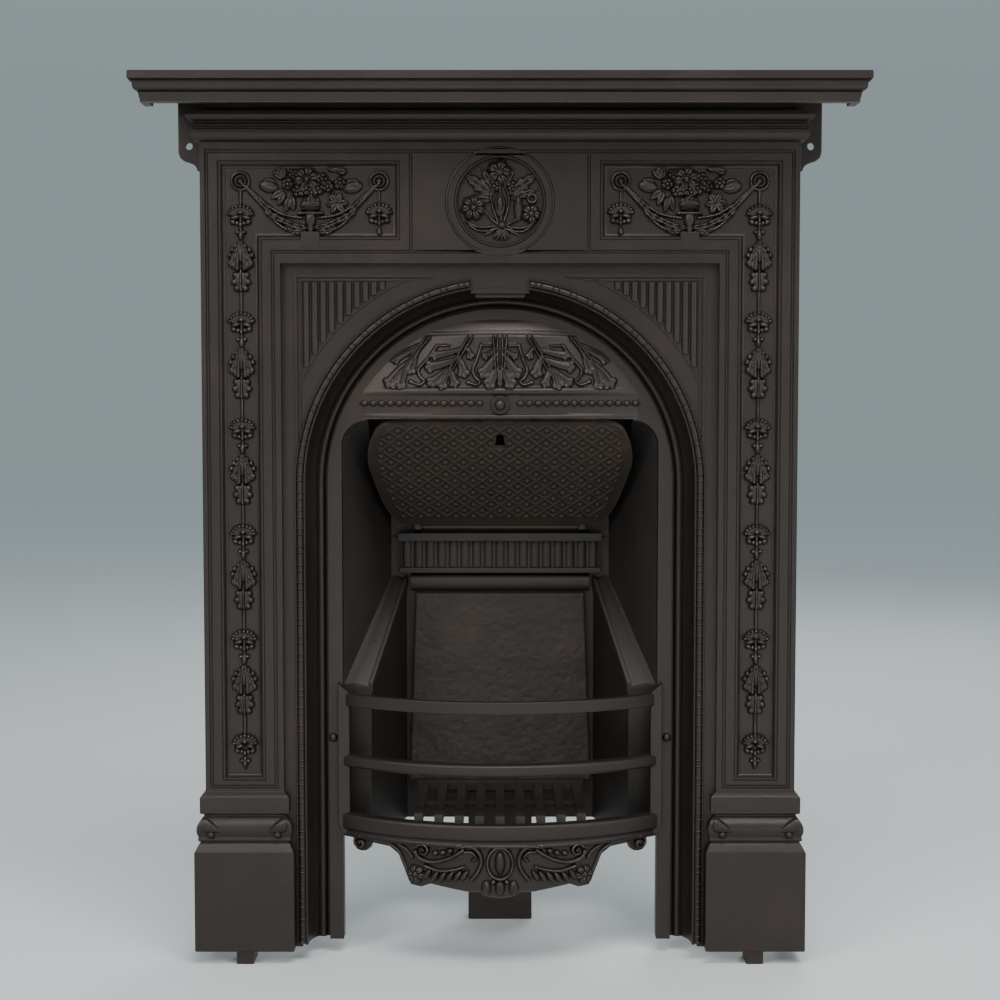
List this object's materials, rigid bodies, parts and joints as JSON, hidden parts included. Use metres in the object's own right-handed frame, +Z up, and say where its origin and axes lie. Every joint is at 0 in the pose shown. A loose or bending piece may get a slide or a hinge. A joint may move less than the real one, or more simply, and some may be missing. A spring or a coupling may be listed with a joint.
{
  "type": "cast iron combination fireplace",
  "caption": "Cast iron combination fireplace with a moulded mantel shelf, drop-hung pilasters, arched reeded surround, bowed hood, quilted damper flap and bow-fronted fire basket.",
  "frame": {"origin": "on the floor, on the centre line, at the wall plane that the back of the surround stands against", "axes": "+Z up, +Y back into the chimney opening, -Y out of the face, +X to the right as seen from the front"},
  "size_m": [0.938, 0.32, 1.17],
  "materials": {
    "black_lead": "satin black-leaded",
    "flap_iron": "satin, warmed by heat",
    "sooty_iron": "sooty, matt",
    "burnt_iron": "rough, burnt"
  },
  "bodies": {
    "fireplace": {"mantel_shelf": "black_lead", "surround": "black_lead", "hood_plate": "black_lead", "basket_back": "sooty_iron", "fireback_slab": "burnt_iron", "left_cheek": "sooty_iron", "right_cheek": "sooty_iron", "grate_front": "black_lead", "bottom_grate": "sooty_iron", "left_bolt": "black_lead", "right_bolt": "black_lead"},
    "flap": {"damper_flap": "flap_iron"}
  },
  "joints": [
    {"name": "flap_hinge", "type": "hinge", "parent": "fireplace", "child": "flap", "pos_m": [0, 0.123, 0.574], "axis": [-1, 0, 0], "range_deg": [0, 40]}
  ]
}
